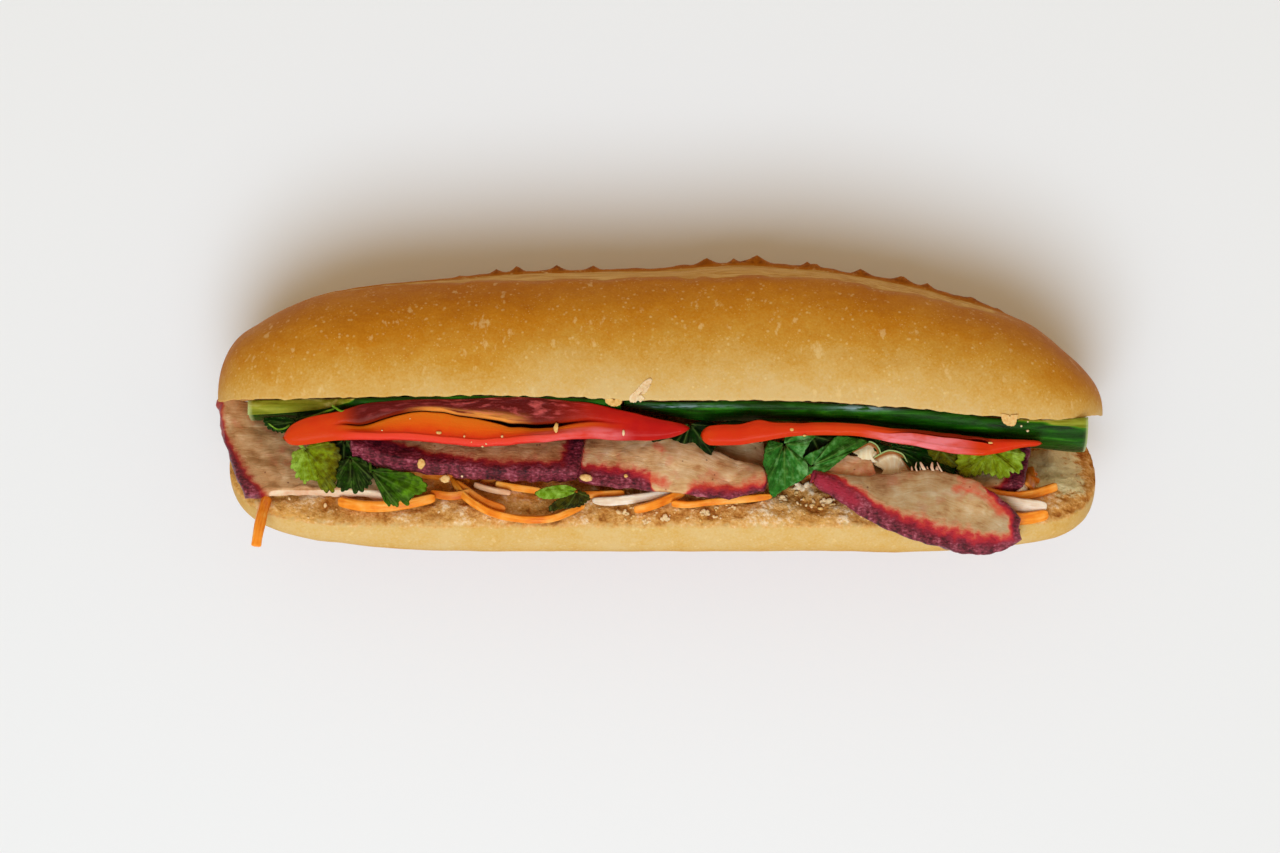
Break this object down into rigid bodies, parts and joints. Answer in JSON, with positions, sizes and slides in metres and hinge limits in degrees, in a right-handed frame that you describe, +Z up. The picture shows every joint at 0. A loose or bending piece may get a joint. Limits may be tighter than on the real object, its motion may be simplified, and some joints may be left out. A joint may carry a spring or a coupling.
{
  "type": "banh mi sandwich",
  "caption": "Split bread roll lying on its spine, open side up, filled with cucumber, red pepper, roast pork slices, coriander and carrot pickle.",
  "frame": {"origin": "on the table, in the middle of the flat strip that the roll's spine rests on, halfway along the roll", "axes": "+X along the roll, +Y from the heel towards the domed crown, +Z up out of the filled opening"},
  "size_m": [0.25, 0.082, 0.0668],
  "materials": {
    "crust": "baked bread crust, matt, cream at the cut edge to golden brown on top",
    "cucumber": "dark green wet skin with pale green flesh",
    "pepper": "glossy red pepper skin with an orange red cut edge",
    "pork": "roast pork, tan inside with a dark red glazed rim, moist",
    "coriander": "fresh green leaf",
    "carrot": "pickled carrot and radish shreds, moist",
    "onion": "pale translucent onion"
  },
  "bodies": {
    "root": {"bread_roll": "crust", "cucumber_left": "cucumber", "cucumber_right": "cucumber", "pepper_left": "pepper", "pepper_right": "pepper", "pork_far_left": "pork", "pork_left": "pork", "pork_middle": "pork", "pork_middle_back": "pork", "pork_right_back": "pork", "pork_right_front": "pork", "coriander_left": "coriander", "coriander_middle": "coriander", "coriander_right": "coriander", "onion_petal_1": "onion", "onion_petal_2": "onion", "pickle_heap": "carrot", "carrot_strip_hanging": "carrot"}
  },
  "joints": []
}
